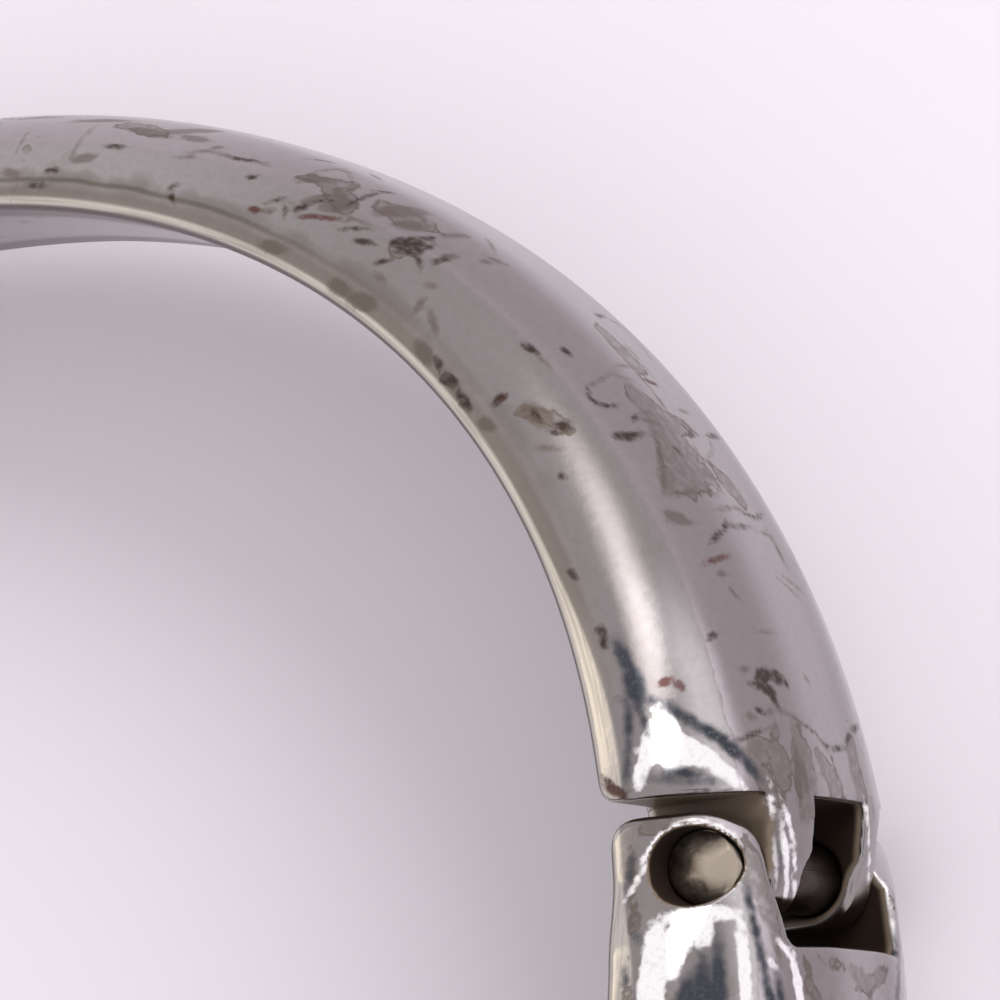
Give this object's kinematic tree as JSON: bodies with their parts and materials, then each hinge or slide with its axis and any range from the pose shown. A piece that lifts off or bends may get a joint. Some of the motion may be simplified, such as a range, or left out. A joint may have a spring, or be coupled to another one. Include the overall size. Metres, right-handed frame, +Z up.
{
  "type": "hinged cuff bangle",
  "caption": "Oval open cuff bangle of polished silver with domed, tapering arms; the upper arm turns on a pin hinge to let a wrist in.",
  "frame": {"origin": "middle of the bangle's box, on the surface it rests on", "axes": "+X from the gap towards the hinge, +Y from the lower arm towards the upper arm, +Z up, nearly along the wrist"},
  "size_m": [0.0678, 0.0641, 0.0181],
  "materials": {
    "polished_silver": "polished sterling silver with fine scratches and brown tarnish in its creases",
    "dull_silver": "unpolished silver pin, hammered flat at its ends and browned"
  },
  "bodies": {
    "lower": {"lower_arm": "polished_silver", "hinge_pin": "dull_silver"},
    "upper": {"upper_arm": "polished_silver"}
  },
  "joints": [
    {"name": "hinge", "type": "hinge", "parent": "lower", "child": "upper", "pos_m": [0.03091, 0, 0.00928], "axis": [0.0859, 0, -0.9963], "range_deg": [0, 48]}
  ]
}
